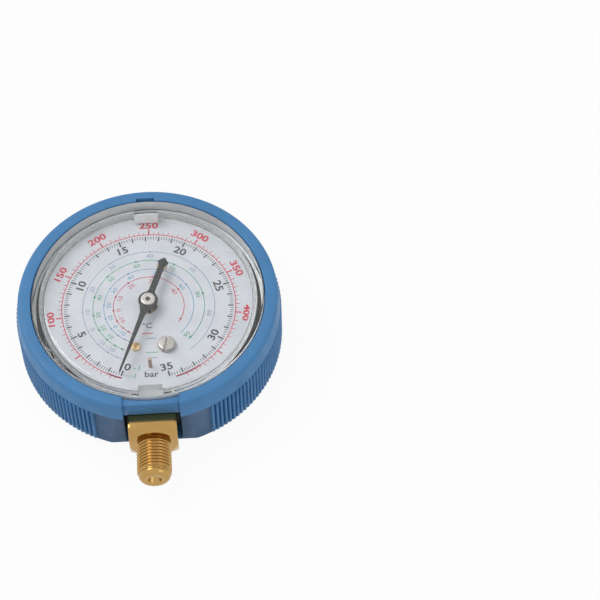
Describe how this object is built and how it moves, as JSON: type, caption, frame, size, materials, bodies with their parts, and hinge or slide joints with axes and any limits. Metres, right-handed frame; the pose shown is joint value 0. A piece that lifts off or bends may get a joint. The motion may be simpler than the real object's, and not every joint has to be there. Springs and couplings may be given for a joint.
{
  "type": "refrigerant manifold gauge",
  "caption": "Round pressure gauge with a clear lens, ribbed rubber boot, brass threaded bottom stem and a geared tube movement.",
  "frame": {"origin": "on the dial axis at the boot's back face", "axes": "+Z out of the dial, -Y along the stem, +X to the right when reading the dial"},
  "size_m": [0.0778, 0.0928, 0.0231],
  "materials": {
    "boot_rubber": "moulded blue rubber, satin",
    "case_paint": "black painted pressed steel",
    "lens_clear": "clear moulded polycarbonate",
    "seal_rubber": "pale grey silicone sheet",
    "plug_rubber": "black moulded rubber",
    "brass_body": "turned brass",
    "movement_brass": "stamped brass",
    "tube_bronze": "drawn phosphor bronze",
    "brass_screw": "small brass screw",
    "movement_steel": "turned steel",
    "screw_steel": "zinc plated steel",
    "dial_enamel": "white enamelled aluminium with printed scales",
    "pointer_black": "black enamelled aluminium",
    "bush_nickel": "nickel plated brass"
  },
  "bodies": {
    "gauge": {"boot": "boot_rubber", "case": "case_paint", "case_screws": "screw_steel", "vent_plug": "plug_rubber", "lens_gasket": "seal_rubber", "socket": "brass_body", "restrictor": "brass_body", "back_plate": "movement_brass", "front_plate": "movement_brass", "pillars": "movement_brass", "plate_screws": "screw_steel", "movement_screws": "screw_steel", "dial_posts": "movement_brass", "dial": "dial_enamel", "dial_screws": "brass_screw", "stop_pin": "movement_brass", "calibration_bracket": "movement_brass", "spring_stud": "movement_brass", "hairspring": "tube_bronze"},
    "lens": {"lens": "lens_clear"},
    "pointer": {"pointer": "pointer_black", "pointer_bush": "bush_nickel", "pinion_arbor": "movement_steel", "spring_collet": "movement_brass"},
    "sector": {"sector_gear": "movement_brass", "sector_staff": "movement_steel", "tail_pivot": "movement_steel"},
    "link": {"link": "movement_steel"},
    "bourdon": {"bourdon_tube": "tube_bronze", "tube_end": "brass_body", "tip_pivot": "movement_steel"},
    "calibration_screw": {"calibration_screw": "screw_steel"}
  },
  "joints": [
    {"name": "sector_swing", "type": "hinge", "parent": "gauge", "child": "sector", "pos_m": [0.01102, -0.002, 0.0103], "axis": [0, 0, 1], "range_deg": [-2, 47.71]},
    {"name": "pointer_turn", "type": "hinge", "parent": "gauge", "child": "pointer", "pos_m": [0, 0, 0.0205], "axis": [0, 0, -1], "range_deg": [-14.2, 334.2]},
    {"name": "tube_flex", "type": "hinge", "parent": "gauge", "child": "bourdon", "pos_m": [-0.008, -0.0239, 0.0088], "axis": [0, 0, 1], "range_deg": [-0.3, 5]},
    {"name": "link_swing", "type": "hinge", "parent": "sector", "child": "link", "pos_m": [0.01422, -0.00184, 0.00935], "axis": [0, 0, 1], "range_deg": [-51, 2.3]},
    {"name": "calibration_turn", "type": "hinge", "parent": "gauge", "child": "calibration_screw", "pos_m": [0.00487, -0.01376, 0.0179], "axis": [0, 0, 1], "range_deg": [-180, 180]},
    {"name": "lens_lift", "type": "slide", "parent": "gauge", "child": "lens", "axis": [0, 0, 1], "range_m": [0, 0.012]}
  ],
  "couplings": [
    {"joint": "pointer_turn", "follows": "sector_swing", "ratio": 7},
    {"joint": "tube_flex", "follows": "sector_swing", "ratio": 0.10279},
    {"joint": "link_swing", "follows": "sector_swing", "ratio": -1.0625}
  ]
}
